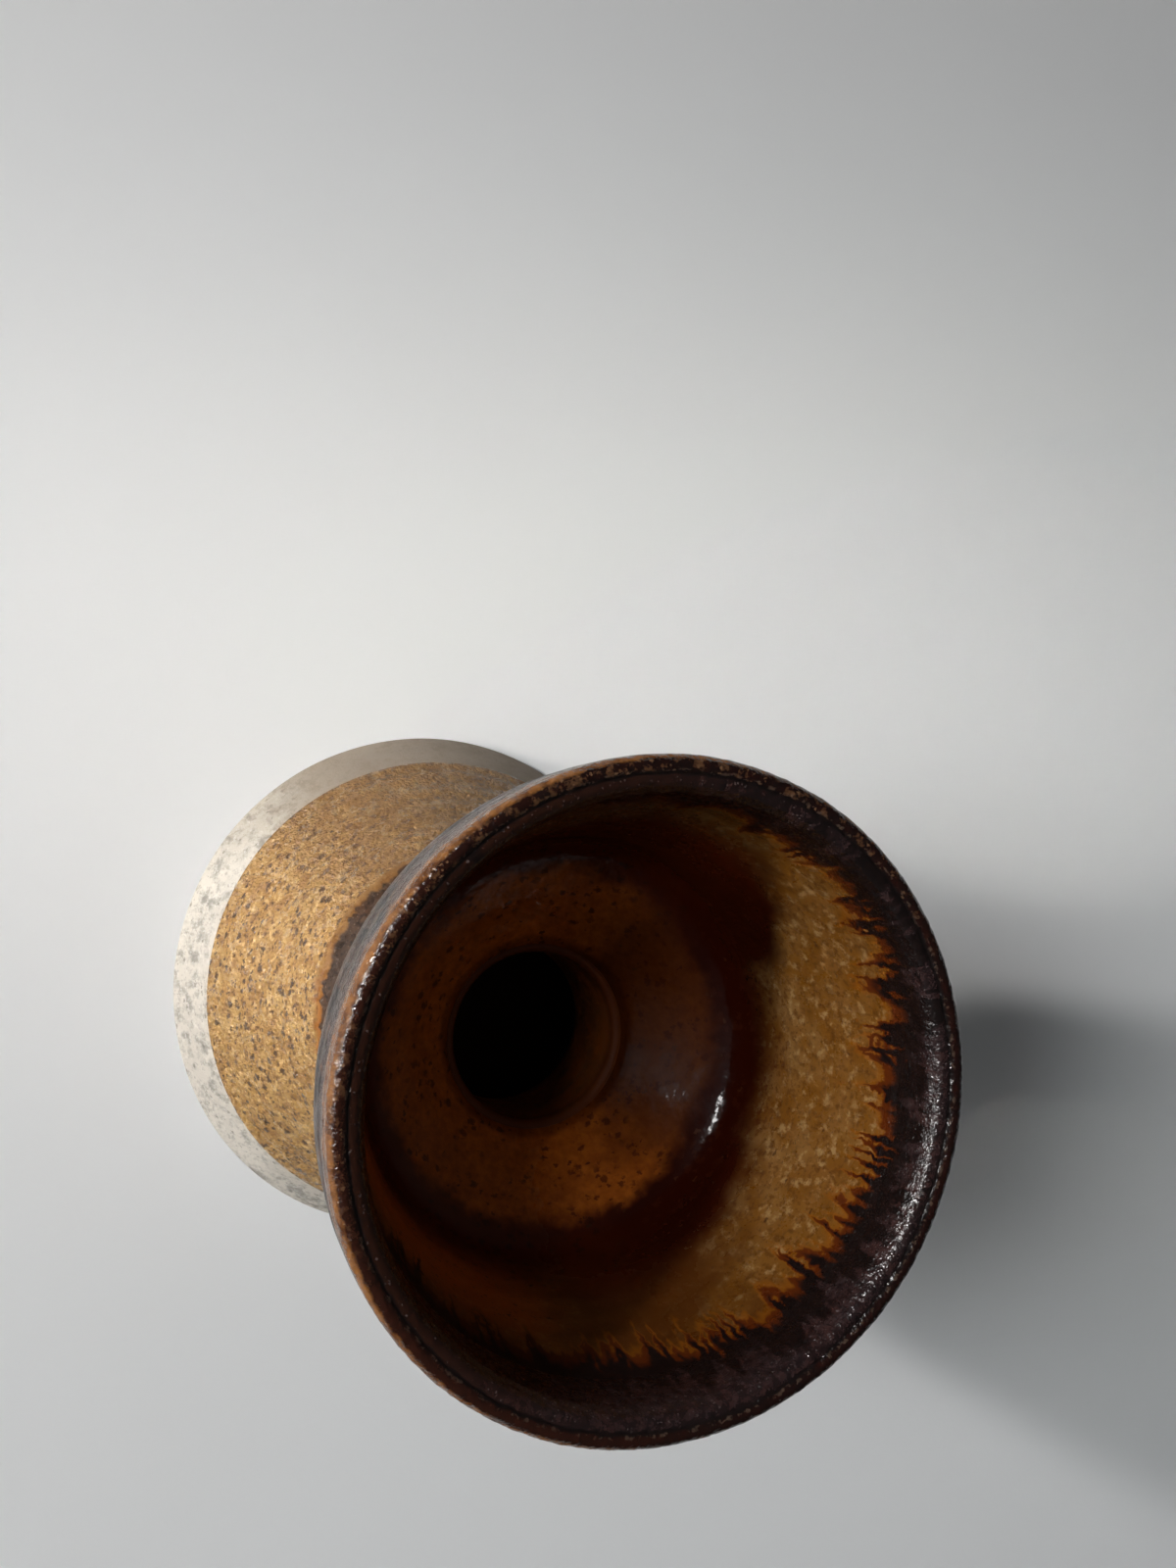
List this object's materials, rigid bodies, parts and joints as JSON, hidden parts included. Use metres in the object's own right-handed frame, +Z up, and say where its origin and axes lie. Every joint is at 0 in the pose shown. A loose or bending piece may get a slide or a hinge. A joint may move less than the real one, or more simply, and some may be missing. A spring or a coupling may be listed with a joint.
{
  "type": "hourglass vase",
  "caption": "Wheel-thrown stoneware hourglass vase: a bare-footed cone joined at a dark waist to an open bowl with an amber inside and a dark rim.",
  "frame": {"origin": "centre of the foot's underside, on the surface the vase stands on", "axes": "+Z up along the turning axis, from the foot to the mouth; +X and +Y are any two square directions, as the vase is round"},
  "size_m": [0.1296, 0.1296, 0.16],
  "materials": {
    "bare_stoneware": "matte, speckled, unglazed",
    "inner_stoneware": "matte, covered by glaze",
    "joining_slip": "matte, fired into the joint",
    "speckled_glaze": "satin gloss, tan with dark specks",
    "dark_glaze": "gloss, black-brown breaking to rust",
    "rim_glaze": "satin, purple-brown, rough on the crest",
    "amber_glaze": "gloss, amber to honey with drips",
    "liner_glaze": "thin, half matte"
  },
  "bodies": {
    "root": {"lower_body": "bare_stoneware", "upper_bowl": "inner_stoneware", "joint_slip": "joining_slip", "waist_coil": "inner_stoneware", "cone_glaze": "speckled_glaze", "dark_glaze": "dark_glaze", "rim_glaze": "rim_glaze", "bowl_glaze": "amber_glaze", "chamber_glaze": "liner_glaze"}
  },
  "joints": []
}
